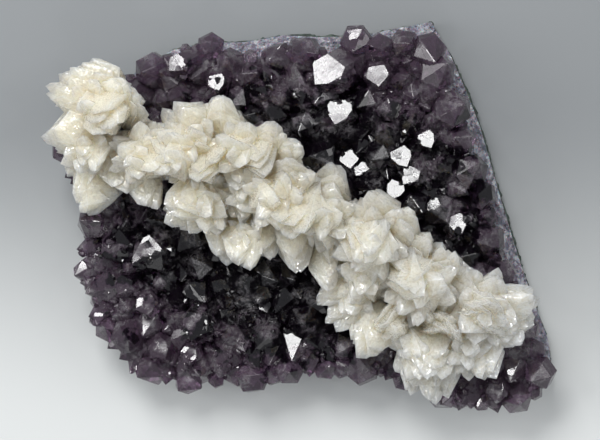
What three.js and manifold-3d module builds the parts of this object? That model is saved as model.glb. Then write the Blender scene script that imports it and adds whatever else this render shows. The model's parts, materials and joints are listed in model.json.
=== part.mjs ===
// Amethyst plate crossed by a ridge of calcite crystals, lying on its sawn back.
// Millimetres, +Z up out of the plate. The origin is on the back face, under the middle of the plate.
// From below: a dark green rind, a band of granular quartz, a crust of amethyst points, and the calcite.
import * as THREE from "three";
import Module from "manifold-3d";

const wasm = await Module();
wasm.setup();

// Driving dimensions
const SCATTER_SEED = 20611;
const RIM_STEPS = 40;
const LAYER_GAP = 0.3;
const RIND_TOP = 6.5;
const QUARTZ_TOP = 15;
const CRUST_TOP = 19;
const POINT_FOOT = 16.6;
const CRYSTAL_SLOPE = THREE.MathUtils.degToRad(51.8);
const CALCITE_BELT = 0.5;
const UPRIGHT_HALF_WIDTH = 0.56;
const UPRIGHT_LEAN = 2;
const OVERHANG = 4;
const BROKEN_EDGE_RUN = 6.5;

// The plate's outline seen from above, as x and y, clockwise from the upper left corner.
const RIM = [
  [-71, 60], [-60, 67], [-46, 71], [-28, 71], [-8, 74], [15, 73], [33, 76], [48, 81],
  [54, 75], [62, 61], [69, 46], [74, 30], [79, 13], [85, -6], [92, -26], [99, -44],
  [104, -63], [99, -74], [83, -79], [69, -80], [51, -73], [34, -67], [16, -65], [-5, -67],
  [-26, -71], [-46, -73], [-59, -71], [-76, -64], [-86, -49], [-93, -29], [-93, -13], [-91, 3],
  [-98, 14], [-102, 27], [-94, 42], [-81, 54],
];

// Swells of the crust: x, y, height, and how far each spreads.
const SWELLS = [
  [-48, 58, 6, 24],
  [12, 62, 3, 20],
  [62, 28, 4, 26],
  [80, -62, 3, 16],
  [-84, -18, 3, 20],
  [-30, -52, 3.5, 26],
  [2, -38, -2.5, 18],
  [30, 34, -3, 20],
];

// Amethyst points scattered over the crust, largest first: radius and how many are tried.
const POINT_SIZES = [
  [7.2, 260],
  [5.2, 500],
  [4, 400],
];
const POINT_SPACING = 0.74;
const POINT_LEAN = 0.38;
const EDGE_RUN = 14;
const EDGE_LEAN = 1.1;
const EDGE_SINK = 2.5;
const RIM_POINT_LEAN = 1.4;
const BROKEN_SHARE = 0.35;
const HIDDEN_SHARE = 0.95;

// Amethyst points with a face turned to one common side, so that they flash together:
// x, y, height of the root above the crust, radius, and the turn about the flashing face in degrees.
const FLASH = new THREE.Vector3(-0.07, 0.38, 0.92).normalize();
const FLASHING_POINTS = [
  [14, 59, 2, 9, -38],
  [31, 58, 1, 6, 10],
  [17, 44, 1, 7.5, -12],
  [40, 26, 2, 6, 30],
  [45, 19, 2, 5.5, -30],
  [62, 0, 2, 6, 24],
  [20, 25, 0, 5.5, 8],
  [26, 21, 0, 5, -34],
  [50, 33, 1, 5, 28],
  [39, 13, 0, 5.5, -20],
  [-32, 55, 1, 5, 14],
  [-46, 62, 1, 5.2, -40],
  [-70, -27, 1, 5.5, -24],
  [-62, -35, 1, 6, 20],
  [-57, -53, 2, 6, 36],
  [-44, -55, 1, 5, -15],
  [-58, -14, 2, 9.5, -44],
  [-40, -42, 2, 8, -10],
  [79, -66, 3, 5, 0],
  [-14, -35, 0, 3.6, 22],
];

// Sprays of the calcite ridge: x and y of the middle, reach, and height of the top.
const SPRAYS = [
  [-80, 48, 15, 50],
  [-83, 29, 15, 45],
  [-61, 27, 15, 50],
  [-43, 30, 17, 56],
  [-22, 29, 17, 56],
  [-35, 9, 16, 50],
  [-6, 13, 18, 61],
  [12, 4, 15, 56],
  [-19, -6, 12, 42],
  [30, -5, 18, 58],
  [23, -28, 13, 42],
  [50, -22, 18, 58],
  [72, -32, 17, 54],
  [49, -48, 15, 48],
  [67, -47, 14, 46],
  [-20, 12, 13, 46],
  [27, -19, 14, 50],
];

// Calcite crystals that make the ridge's outline: tip x, y, z, root x, y, z, and half width.
const RIDGE_CRYSTALS = [
  [-97, 53, 44, -76, 46, 36, 7], [-90, 61, 42, -76, 50, 36, 7], [-83, 63, 40, -72, 49, 32, 8.5],
  [-62, 54, 46, -74, 46, 30, 8.5], [-70, 38, 55, -76, 50, 28, 10.5], [-57, 44, 42, -72, 43, 26, 7.5],
  [-99, 38, 42, -78, 37, 32, 9.5], [-92, 27, 36, -80, 33, 28, 7.5], [-78, 23, 46, -80, 36, 24, 8.5],
  [-87, 4, 31, -77, 20, 26, 9], [-68, 11, 34, -71, 25, 25, 8], [-43, 22, 55, -60, 31, 28, 9.5],
  [-55, 5, 36, -62, 21, 26, 7], [-60, 20, 45, -62, 32, 25, 8], [-48, 46, 44, -36, 35, 32, 7.5],
  [-27, 51, 42, -30, 34, 28, 8], [-38, 39, 54, -37, 27, 26, 8], [-31, 20, 59, -32, 32, 26, 9],
  [-11, 21, 58, -17, 33, 26, 8], [-5, 40, 44, -15, 27, 28, 8.5], [3, 33, 43, -11, 24, 26, 8.5],
  [-50, 9, 47, -32, 14, 28, 10.5], [-53, 2, 36, -37, 9, 27, 7], [-30, -17, 33, -29, 2, 26, 7],
  [-20, -18, 40, -22, 3, 27, 8.5], [-10, -14, 37, -13, 2, 26, 7], [2, -18, 41, -2, 2, 27, 8.5],
  [14, -25, 42, 10, -6, 27, 7], [7, -31, 33, 21, -20, 26, 7], [13, -40, 33, 27, -27, 26, 8],
  [24, -52, 37, 36, -34, 27, 9], [-3, 28, 52, -1, 11, 27, 8], [16, 25, 40, 12, 10, 27, 6.5],
  [3, 0, 63, 1, 13, 26, 11], [26, -10, 58, 29, 0, 26, 10], [30, 16, 46, 35, -3, 27, 7.5],
  [44, 7, 46, 37, -6, 27, 8.5], [52, -2, 46, 42, -15, 26, 8.5], [59, -7, 46, 55, -25, 27, 8],
  [69, -15, 44, 63, -30, 27, 8.5], [80, -19, 42, 71, -32, 27, 8], [74, -24, 57, 71, -36, 25, 9.5],
  [94, -24, 42, 77, -32, 28, 8], [93, -36, 37, 79, -36, 26, 7], [85, -46, 40, 77, -33, 26, 8],
  [75, -60, 38, 70, -42, 25, 9], [54, -57, 49, 54, -40, 27, 9], [44, -68, 32, 47, -50, 24, 6],
  [53, -71, 34, 52, -50, 24, 6.5], [62, -68, 33, 58, -48, 24, 6.5], [46, -20, 59, 45, -14, 26, 10],
  [60, -34, 56, 58, -40, 24, 9], [38, -34, 51, 38, -36, 24, 9],
];

// A repeatable stream of numbers from 0 to 1.
function makeRandom(seed) {
  let state = seed;
  return () => {
    state = (state * 48271) % 2147483647;
    return state / 2147483647;
  };
}

const random = makeRandom(SCATTER_SEED);
const between = (low, high) => low + (high - low) * random();

// The closed solid on the inner side of all the planes. Each plane has an outward normal and its
// distance from the origin along that normal.
function convexSolid(planes, place) {
  const corners = [];
  const cornersOf = planes.map(() => new Set());
  for (let i = 0; i < planes.length; i++) {
    for (let j = i + 1; j < planes.length; j++) {
      for (let k = j + 1; k < planes.length; k++) {
        const corner = meetingPoint(planes[i], planes[j], planes[k]);
        if (!corner || planes.some((p) => p.normal.dot(corner) > p.reach + 1e-6)) continue;
        let index = corners.findIndex((c) => c.distanceTo(corner) < 0.02);
        if (index < 0) index = corners.push(corner) - 1;
        for (const plane of [i, j, k]) cornersOf[plane].add(index);
      }
    }
  }
  const triangles = planes.flatMap((plane, i) => fan(plane.normal, [...cornersOf[i]], corners));
  return solidFrom(corners.map((c) => c.clone().applyMatrix4(place)), triangles);
}

function meetingPoint(a, b, c) {
  const bc = b.normal.clone().cross(c.normal);
  const volume = a.normal.dot(bc);
  if (Math.abs(volume) < 1e-6) return null;
  return bc
    .multiplyScalar(a.reach)
    .addScaledVector(c.normal.clone().cross(a.normal), b.reach)
    .addScaledVector(a.normal.clone().cross(b.normal), c.reach)
    .divideScalar(volume);
}

// Triangles of one flat face, its corners put in order round the normal.
function fan(normal, indices, corners) {
  if (indices.length < 3) return [];
  const middle = new THREE.Vector3();
  for (const i of indices) middle.addScaledVector(corners[i], 1 / indices.length);
  const across = corners[indices[0]].clone().sub(middle).normalize();
  const along = normal.clone().cross(across);
  const turn = (i) => {
    const spoke = corners[i].clone().sub(middle);
    return Math.atan2(spoke.dot(along), spoke.dot(across));
  };
  const ordered = [...indices].sort((a, b) => turn(a) - turn(b));
  return ordered.slice(2).map((last, i) => [ordered[0], ordered[i + 1], last]);
}

function solidFrom(points, triangles) {
  return new wasm.Manifold(
    new wasm.Mesh({
      numProp: 3,
      vertProperties: new Float32Array(points.flatMap((p) => [p.x, p.y, p.z])),
      triVerts: new Uint32Array(triangles.flat()),
    }),
  );
}

const joined = (solids) => solids.reduce((whole, solid) => whole.add(solid));

function plane(x, y, z, reach) {
  return { normal: new THREE.Vector3(x, y, z).normalize(), reach };
}

// A plane facing outward and raised by an angle.
function slopingPlane(outward, rise, reach) {
  const normal = outward.clone().multiplyScalar(Math.cos(rise)).setZ(Math.sin(rise));
  return { normal, reach };
}

// A frame whose Z runs along the axis and whose Y leans up, turned about the axis by the twist.
function frameAlong(position, axis, twist) {
  const side = new THREE.Vector3(0, 0, 1).cross(axis);
  if (side.length() < 0.05) side.set(1, 0, 0);
  side.normalize();
  const up = axis.clone().cross(side).normalize();
  const frame = new THREE.Matrix4().makeBasis(up.clone().cross(axis), up, axis);
  frame.multiply(new THREE.Matrix4().makeRotationZ(twist));
  return frame.setPosition(position);
}

// The rim, with the outward direction and the share of broken edge at each step.
function rimSteps() {
  const corners = RIM.map(([x, y]) => new THREE.Vector3(x, y, 0)).reverse();
  const curve = new THREE.CatmullRomCurve3(corners, true, "catmullrom", 0.4);
  const points = curve.getSpacedPoints(RIM_STEPS).slice(0, RIM_STEPS);
  return points.map((point, i) => {
    const ahead = points[(i + 1) % RIM_STEPS];
    const behind = points[(i + RIM_STEPS - 1) % RIM_STEPS];
    const along = ahead.clone().sub(behind).normalize();
    const outward = new THREE.Vector3(along.y, -along.x, 0);
    const broken = THREE.MathUtils.clamp(outward.x + outward.y, 0, 1);
    return { point, outward, broken };
  });
}

const rim = rimSteps();

// A ring of points round the rim. reach(step) is how far out it goes, height(step) how high.
function ring(reach, height) {
  return rim.map((step) => {
    const point = step.point.clone().addScaledVector(step.outward, reach(step));
    return point.setZ(height(step, point));
  });
}

function raised(points, lift, growth) {
  return points.map((p, i) => p.clone().addScaledVector(rim[i].outward, growth).setZ(p.z + lift));
}

// A closed solid skinned over rings from the lowest to the highest, each end closed by a fan.
function skin(rings, lowMiddle, highMiddle) {
  const count = RIM_STEPS;
  const points = [...rings.flat(), lowMiddle, highMiddle];
  const low = points.length - 2;
  const high = points.length - 1;
  const triangles = [];
  for (let i = 0; i < count; i++) {
    const next = (i + 1) % count;
    triangles.push([low, next, i]);
    for (let level = 0; level + 1 < rings.length; level++) {
      const a = level * count;
      const b = a + count;
      triangles.push([a + i, a + next, b + next], [a + i, b + next, b + i]);
    }
    const top = (rings.length - 1) * count;
    triangles.push([top + i, top + next, high]);
  }
  return solidFrom(points, triangles);
}

function crustHeight(x, y) {
  return SWELLS.reduce((height, [sx, sy, lift, spread]) => {
    const distance = Math.hypot(x - sx, y - sy) / spread;
    return height + lift * Math.exp(-distance * distance);
  }, CRUST_TOP);
}

// The three layers. Each starts on the ring that the one below ends on, a gap above it.
const inset = (step) => -OVERHANG * (1 - step.broken);
const rindFoot = ring((s) => inset(s) - 2.5 + between(-0.6, 0.6), () => 0);
const rindBelly = ring((s) => inset(s) + between(-0.7, 0.4), () => between(2.6, 3.8));
const rindTop = ring((s) => inset(s) - 0.8 + between(-0.5, 0.4), () => RIND_TOP + between(-1, 1));
const quartzBelly = ring(
  (s) => inset(s) - 0.8 - 2.5 * s.broken + between(-0.7, 0.7),
  () => 10.5 + between(-0.6, 0.6),
);
const quartzTop = ring(
  (s) => inset(s) - 1.2 - BROKEN_EDGE_RUN * s.broken + between(-0.5, 0.5),
  () => QUARTZ_TOP + between(-0.8, 0.8),
);
const crustEdge = ring((s) => inset(s) - 3 - BROKEN_EDGE_RUN * s.broken, () => CRUST_TOP);

const middle = (z) => new THREE.Vector3(0, 0, z);
const rind = skin([rindFoot, rindBelly, rindTop], middle(0), middle(RIND_TOP));
const quartz = skin(
  [raised(rindTop, LAYER_GAP, 0), quartzBelly, quartzTop],
  middle(RIND_TOP + LAYER_GAP),
  middle(QUARTZ_TOP),
);
const crust = skin(
  [raised(quartzTop, LAYER_GAP, 0), crustEdge],
  middle(QUARTZ_TOP + LAYER_GAP),
  middle(CRUST_TOP),
);

// A quartz point: six prism faces and six end faces. In an uneven one every other end face is set
// back from the tip, which leaves three large faces and three small ones.
function quartzPoint({ root, axis, radius, shoulder, twist, uneven }) {
  const frame = frameAlong(root, axis, twist);
  const down = new THREE.Vector3(0, 0, -1).transformDirection(frame.clone().transpose());
  const planes = [{ normal: down, reach: root.z - POINT_FOOT }];
  const apothem = radius * Math.cos(Math.PI / 6);
  const tip = shoulder + apothem * Math.tan(CRYSTAL_SLOPE);
  for (let side = 0; side < 6; side++) {
    const angle = (side * Math.PI) / 3;
    const outward = new THREE.Vector3(Math.cos(angle), Math.sin(angle), 0);
    const setBack = uneven && side % 2 ? between(0.15, 0.5) * radius : 0;
    const reach = (tip + setBack) * Math.cos(CRYSTAL_SLOPE);
    planes.push({ normal: outward, reach: apothem });
    planes.push(slopingPlane(outward, Math.PI / 2 - CRYSTAL_SLOPE, reach));
  }
  return convexSolid(planes, frame);
}

// Distance inside the crust's edge, negative outside, and the way out from there.
function insideCrust(x, y) {
  let nearest = { distance: Infinity };
  let crossings = 0;
  crustEdge.forEach((a, i) => {
    const b = crustEdge[(i + 1) % RIM_STEPS];
    const run = new THREE.Vector2(b.x - a.x, b.y - a.y);
    const reach = new THREE.Vector2(x - a.x, y - a.y);
    const share = THREE.MathUtils.clamp(reach.dot(run) / run.lengthSq(), 0, 1);
    const distance = reach.distanceTo(run.clone().multiplyScalar(share));
    if (distance < nearest.distance) nearest = { distance, step: rim[i] };
    if (a.y > y !== b.y > y && x < a.x + ((y - a.y) / (b.y - a.y)) * (b.x - a.x)) crossings++;
  });
  return { depth: crossings % 2 ? nearest.distance : -nearest.distance, step: nearest.step };
}

const underCalcite = (x, y, margin) =>
  SPRAYS.some(([sx, sy, reach]) => Math.hypot(x - sx, y - sy) < reach * HIDDEN_SHARE - margin);

function leaningAxis(outwardLean, step) {
  const axis = new THREE.Vector3(between(-1, 1) * POINT_LEAN, between(-1, 1) * POINT_LEAN, 1);
  return axis.addScaledVector(step.outward, outwardLean).normalize();
}

function scatteredPoints() {
  const taken = FLASHING_POINTS.map(([x, y, , radius]) => [x, y, radius]);
  const points = [];
  for (const [radius, tries] of POINT_SIZES) {
    for (let i = 0; i < tries; i++) {
      const x = between(-104, 104);
      const y = between(-80, 80);
      const { depth, step } = insideCrust(x, y);
      if (depth < radius * 0.3 || underCalcite(x, y, radius * 0.5)) continue;
      const apart = ([tx, ty, tr]) => Math.hypot(x - tx, y - ty) / (radius + tr);
      if (taken.some((other) => apart(other) < POINT_SPACING)) continue;
      taken.push([x, y, radius]);
      const nearRim = THREE.MathUtils.clamp(1 - depth / EDGE_RUN, 0, 1);
      const axis = leaningAxis(nearRim * EDGE_LEAN * (1 - 0.5 * step.broken), step);
      const root = new THREE.Vector3(x, y, crustHeight(x, y) - nearRim * nearRim * EDGE_SINK);
      const size = radius * between(1.1, 1.28);
      const shoulder = size * between(-0.35, 0);
      const twist = between(0, Math.PI);
      points.push(quartzPoint({ root, axis, radius: size, shoulder, twist, uneven: false }));
    }
  }
  return points;
}

// Points that hang over the rim where the crust is not broken off.
function rimPoints() {
  return rim.flatMap((step, i) => {
    if (step.broken > BROKEN_SHARE || random() < 0.3) return [];
    const root = crustEdge[i].clone().addScaledVector(step.outward, -0.5).setZ(CRUST_TOP);
    const axis = leaningAxis(RIM_POINT_LEAN, step);
    const radius = between(3.6, 5.6);
    const twist = between(0, Math.PI);
    return [quartzPoint({ root, axis, radius, shoulder: 0.5, twist, uneven: false })];
  });
}

// A flashing point has one large end face square to FLASH; its axis is found from that face.
function flashingPoint([x, y, lift, radius, turn]) {
  const root = new THREE.Vector3(x, y, crustHeight(x, y) + lift);
  const down = new THREE.Vector3(0, -1, 0).projectOnPlane(FLASH).normalize();
  const way = down.applyAxisAngle(FLASH, THREE.MathUtils.degToRad(turn));
  const axis = FLASH.clone()
    .multiplyScalar(Math.cos(CRYSTAL_SLOPE))
    .addScaledVector(way, Math.sin(CRYSTAL_SLOPE))
    .normalize();
  const level = frameAlong(root, axis, 0).invert();
  const face = FLASH.clone().add(root).applyMatrix4(level);
  return quartzPoint({
    root,
    axis,
    radius,
    shoulder: radius * 0.3,
    twist: Math.atan2(face.y, face.x),
    uneven: true,
  });
}

// A calcite crystal: a six-sided point on a three-sided root, flattened like a petal.
function calciteCrystal(crystal, growth) {
  const { tip, root, halfWidth, rootTaper, spread, turn, twist, flatness } = crystal;
  const axis = tip.clone().sub(root);
  const length = axis.length() + growth;
  const width = halfWidth + growth;
  const belt = length * CALCITE_BELT;
  const rise = Math.atan2(width, length - belt);
  const fall = Math.atan2(width * rootTaper, belt);
  const planes = [plane(0, 0, -1, growth)];
  for (let side = 0; side < 3; side++) {
    const third = (side * 2 * Math.PI) / 3 + turn;
    for (const angle of [third - spread, third + spread]) {
      const outward = new THREE.Vector3(Math.cos(angle), Math.sin(angle), 0);
      planes.push(slopingPlane(outward, rise, length * Math.sin(rise)));
    }
    const outward = new THREE.Vector3(Math.cos(third), Math.sin(third), 0);
    planes.push(slopingPlane(outward, -fall, width * Math.cos(fall) - belt * Math.sin(fall)));
  }
  const frame = frameAlong(root, axis.normalize(), twist);
  frame.multiply(new THREE.Matrix4().makeScale(1, flatness, 1));
  return convexSolid(planes, frame);
}

// The calcite crystals: the ridge's own, and an upright one in the middle of each spray.
const GOLDEN_ANGLE = Math.PI * (3 - Math.sqrt(5));
const uprightCrystals = SPRAYS.map(([x, y, reach, top], spray) => {
  const root = new THREE.Vector3(x, y, CRUST_TOP + LAYER_GAP);
  const turn = GOLDEN_ANGLE * spray;
  const lean = new THREE.Vector3(Math.cos(turn), Math.sin(turn), 0).multiplyScalar(UPRIGHT_LEAN);
  return {
    tip: root.clone().add(lean).setZ(top),
    root,
    halfWidth: reach * UPRIGHT_HALF_WIDTH,
    rootTaper: 0,
  };
});
const ridgeCrystals = RIDGE_CRYSTALS.map(([tx, ty, tz, rx, ry, rz, halfWidth]) => ({
  tip: new THREE.Vector3(tx, ty, tz),
  root: new THREE.Vector3(rx, ry, rz),
  halfWidth,
  rootTaper: 0.5,
}));

// Each crystal's own form: how its faces are paired and turned, and how flat it is.
const calciteList = [...ridgeCrystals, ...uprightCrystals].map((crystal, i) => {
  const share = (step) => (i * step) % 1;
  return {
    ...crystal,
    spread: THREE.MathUtils.degToRad(30 + 10 * share(0.618)),
    turn: 2 * share(0.755),
    twist: 0.7 * share(0.57) - 0.35,
    flatness: 0.68 + 0.22 * share(0.382),
  };
});

const grownCalcite = (growth) =>
  joined(calciteList.map((crystal) => calciteCrystal(crystal, growth)));

// The calcite sits a gap above the crust, and the amethyst points keep a gap to the calcite.
const seat = skin(
  [raised(quartzTop, LAYER_GAP, 0), raised(crustEdge, LAYER_GAP, LAYER_GAP)],
  middle(QUARTZ_TOP + LAYER_GAP),
  middle(CRUST_TOP + LAYER_GAP),
);
const calcite = grownCalcite(0).subtract(seat);
const points = joined([
  ...FLASHING_POINTS.map(flashingPoint),
  ...scatteredPoints(),
  ...rimPoints(),
]);
const amethyst = points.subtract(grownCalcite(LAYER_GAP)).add(crust);

// Triangles of the largest connected body, so that chips cut loose by a neighbour are left out.
function largestBody(triangles, cornerCount) {
  const parent = Array.from({ length: cornerCount }, (_, i) => i);
  const bodyOf = (corner) => {
    let top = corner;
    while (parent[top] !== top) top = parent[top];
    parent[corner] = top;
    return top;
  };
  for (let i = 0; i < triangles.length; i += 3) {
    for (const corner of [triangles[i + 1], triangles[i + 2]]) {
      parent[bodyOf(corner)] = bodyOf(triangles[i]);
    }
  }
  const sizes = new Map();
  for (const corner of triangles) {
    const body = bodyOf(corner);
    sizes.set(body, (sizes.get(body) ?? 0) + 1);
  }
  const largest = [...sizes].reduce((best, entry) => (entry[1] > best[1] ? entry : best))[0];
  return triangles.filter((_, i) => bodyOf(triangles[i - (i % 3)]) === largest);
}

function piece(name, solid, look) {
  const { vertProperties, triVerts } = solid.getMesh();
  const kept = largestBody(triVerts, vertProperties.length / 3);
  const geometry = new THREE.BufferGeometry();
  geometry.setAttribute("position", new THREE.BufferAttribute(vertProperties, 3));
  geometry.setIndex(new THREE.BufferAttribute(kept, 1));
  geometry.computeVertexNormals();
  const mesh = new THREE.Mesh(geometry, new THREE.MeshStandardMaterial(look));
  mesh.name = name;
  return mesh;
}

const specimen = new THREE.Group();
specimen.add(
  piece("green_rind", rind, { color: 0x3c4a44, roughness: 0.9, flatShading: true }),
  piece("quartz_band", quartz, { color: 0xa9abae, roughness: 0.55, flatShading: true }),
  piece("amethyst_crust", amethyst, { color: 0x3b2440, roughness: 0.2, flatShading: true }),
  piece("calcite_ridge", calcite, { color: 0xe6e0d0, roughness: 0.4, flatShading: true }),
);

export default specimen;
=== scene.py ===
import json
import logging
from dataclasses import dataclass, field
from enum import Enum

import bmesh
import bpy
import numpy as np
from mathutils import Matrix, Vector
from mathutils.bvhtree import BVHTree

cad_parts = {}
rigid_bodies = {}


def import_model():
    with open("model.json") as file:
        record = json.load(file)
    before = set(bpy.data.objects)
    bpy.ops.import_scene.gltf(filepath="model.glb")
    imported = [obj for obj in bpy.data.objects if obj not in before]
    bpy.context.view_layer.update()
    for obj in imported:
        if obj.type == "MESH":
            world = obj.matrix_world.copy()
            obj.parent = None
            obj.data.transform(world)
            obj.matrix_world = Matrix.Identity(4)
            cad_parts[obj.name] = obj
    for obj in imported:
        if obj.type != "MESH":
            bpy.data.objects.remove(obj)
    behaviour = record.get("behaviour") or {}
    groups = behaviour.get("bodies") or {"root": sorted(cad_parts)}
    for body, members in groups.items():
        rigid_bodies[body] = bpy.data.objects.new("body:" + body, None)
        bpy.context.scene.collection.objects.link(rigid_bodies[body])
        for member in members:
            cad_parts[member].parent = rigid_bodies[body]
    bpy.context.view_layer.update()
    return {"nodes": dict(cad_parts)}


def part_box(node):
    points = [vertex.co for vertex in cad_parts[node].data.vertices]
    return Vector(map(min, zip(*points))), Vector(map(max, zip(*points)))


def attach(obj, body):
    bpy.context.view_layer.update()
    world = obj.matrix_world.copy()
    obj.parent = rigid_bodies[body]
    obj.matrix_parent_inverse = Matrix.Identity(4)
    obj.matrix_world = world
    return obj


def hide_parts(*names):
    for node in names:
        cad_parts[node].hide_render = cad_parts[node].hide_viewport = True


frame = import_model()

log = logging.getLogger("specimen")

MM = 0.001
SLOPE = np.radians(51.8)
GOLDEN_ANGLE = np.pi * (3 - np.sqrt(5))


class Spread(Enum):
    """How crystals of one kind stand on what they grow from."""

    LEANING = 0.5
    WILD = 0.9


# Colour and node helpers


def linear(code: str, alpha: float = 1.0) -> tuple[float, float, float, float]:
    """Turns an sRGB hex colour into the linear values that Blender's sockets take.

    Args:
        code: Six hex digits with a leading hash.
        alpha: The fourth value.

    Returns:
        Linear red, green, blue and alpha.
    """
    srgb = np.array([int(code[i:i + 2], 16) for i in (1, 3, 5)]) / 255
    out = np.where(srgb <= 0.04045, srgb / 12.92, ((srgb + 0.055) / 1.055) ** 2.4)
    return (float(out[0]), float(out[1]), float(out[2]), alpha)


def add_node(
    tree: bpy.types.NodeTree,
    kind: str,
    settings: dict | None = None,
    values: dict | None = None,
    links: dict | None = None,
    stops: tuple[tuple[float, str], ...] = (),
) -> bpy.types.Node:
    """Adds one node with its settings, its socket values and its incoming links.

    Args:
        tree: The node tree that gets the node.
        kind: The node's type name.
        settings: Attributes of the node itself.
        values: Default values by input name or number.
        links: Output sockets by input name or number.
        stops: Position and hex colour of each stop, for a colour ramp.

    Returns:
        The new node.
    """
    node = tree.nodes.new(kind)
    for name, value in (settings or {}).items():
        setattr(node, name, value)
    for key, value in (values or {}).items():
        node.inputs[key].default_value = value
    for key, socket in (links or {}).items():
        tree.links.new(socket, node.inputs[key])
    for number, (position, code) in enumerate(stops):
        elements = node.color_ramp.elements
        element = elements[number] if number < len(elements) else elements.new(position)
        element.position = position
        element.color = linear(code)
    return node


def facet_relief(
    tree: bpy.types.NodeTree, place: bpy.types.NodeSocket, size: float, slope: float
) -> bpy.types.NodeSocket:
    """Adds a relief of flat patches that each lean their own way, as small crystal faces do.

    Args:
        tree: The node tree.
        place: The coordinates, in metres.
        size: The size of a patch in metres.
        slope: The steepest lean of a patch, as rise over run.

    Returns:
        The height in metres.
    """
    cells = add_node(
        tree, "ShaderNodeTexVoronoi", values={"Scale": 1 / size}, links={"Vector": place}
    )
    offset = add_node(
        tree,
        "ShaderNodeVectorMath",
        {"operation": "SUBTRACT"},
        links={0: place, 1: cells.outputs["Position"]},
    )
    lean = add_node(
        tree,
        "ShaderNodeVectorMath",
        {"operation": "MULTIPLY_ADD"},
        values={1: (2 * slope,) * 3, 2: (-slope,) * 3},
        links={0: cells.outputs["Color"]},
    )
    height = add_node(
        tree,
        "ShaderNodeVectorMath",
        {"operation": "DOT_PRODUCT"},
        links={0: offset.outputs[0], 1: lean.outputs[0]},
    )
    return height.outputs["Value"]


def new_material(
    name: str, inside: str = "", density: float = 0.0
) -> tuple[bpy.types.Material, bpy.types.NodeTree, bpy.types.Node]:
    """Makes a material with a Principled shader wired to its output.

    Args:
        name: The material's name.
        inside: The hex colour that a clear stone takes on with depth, or nothing.
        density: How strongly it does, for each metre.

    Returns:
        The material, its node tree and the shader node.
    """
    material = bpy.data.materials.new(name)
    material.use_nodes = True
    tree = material.node_tree
    tree.nodes.clear()
    shader = add_node(tree, "ShaderNodeBsdfPrincipled")
    output = add_node(tree, "ShaderNodeOutputMaterial", links={"Surface": shader.outputs["BSDF"]})
    if inside:
        absorb = add_node(
            tree,
            "ShaderNodeVolumeAbsorption",
            values={"Color": linear(inside), "Density": density},
        )
        tree.links.new(absorb.outputs[0], output.inputs["Volume"])
    return material, tree, shader


# Mesh helpers


def mesh_object(name: str, points: np.ndarray, faces: list) -> bpy.types.Object:
    """Puts arrays into a new mesh object that sits at the origin.

    Args:
        name: The object's name.
        points: Corner positions in metres, one row each.
        faces: Corner numbers of each face.

    Returns:
        The linked object.
    """
    mesh = bpy.data.meshes.new(name)
    mesh.from_pydata(points.tolist(), [], faces)
    piece = bpy.data.objects.new(name, mesh)
    bpy.context.scene.collection.objects.link(piece)
    return piece


def merged_copy(node: bpy.types.Object, name: str) -> bpy.types.Object:
    """Copies a CAD node's mesh and merges its loose triangles into one closed shell.

    Args:
        node: The CAD node's object, which stays as it is.
        name: The copy's name.

    Returns:
        The copy.
    """
    mesh = node.data.copy()
    mesh.name = name
    shell = bmesh.new()
    shell.from_mesh(mesh)
    bmesh.ops.remove_doubles(shell, verts=shell.verts, dist=1e-6)
    shell.to_mesh(mesh)
    shell.free()
    mesh.materials.clear()
    piece = bpy.data.objects.new(name, mesh)
    bpy.context.scene.collection.objects.link(piece)
    return piece


def united(base: bpy.types.Object, others: list[bpy.types.Object]) -> bpy.types.Object:
    """Joins closed solids into one, so that nothing of one is left inside another.

    Args:
        base: The solid that the others are joined to, and whose name is kept.
        others: Closed solids, which are used up.

    Returns:
        The base, with its mesh replaced by the joined one.
    """
    group = bpy.data.collections.new(base.name + "_parts")
    bpy.context.scene.collection.children.link(group)
    for part in others:
        bpy.context.scene.collection.objects.unlink(part)
        group.objects.link(part)
    join = base.modifiers.new("join", "BOOLEAN")
    join.operation = "UNION"
    join.solver = "MANIFOLD"
    join.operand_type = "COLLECTION"
    join.collection = group
    evaluated = base.evaluated_get(bpy.context.evaluated_depsgraph_get())
    mesh = bpy.data.meshes.new_from_object(evaluated)
    base.modifiers.clear()
    old = base.data
    base.data = mesh
    name = old.name
    bpy.data.meshes.remove(old)
    mesh.name = name
    for part in others:
        bpy.data.meshes.remove(part.data)
    bpy.data.collections.remove(group)
    return base


def frames_along(axes: np.ndarray, twists: np.ndarray) -> np.ndarray:
    """Turns axes into frames whose Z runs along the axis and whose Y leans up.

    Args:
        axes: Unit axes, one row each.
        twists: A turn about each axis in radians.

    Returns:
        Matrices of shape (count, 3, 3) whose columns are X, Y and Z.
    """
    side = np.cross([0.0, 0.0, 1.0], axes)
    flat = np.linalg.norm(side, axis=1) < 0.05
    side[flat] = [1.0, 0.0, 0.0]
    side /= np.linalg.norm(side, axis=1, keepdims=True)
    up = np.cross(axes, side)
    up /= np.linalg.norm(up, axis=1, keepdims=True)
    across = np.cross(up, axes)
    c, s = np.cos(twists)[:, None], np.sin(twists)[:, None]
    return np.stack([across * c + up * s, up * c - across * s, axes], axis=2)


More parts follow.
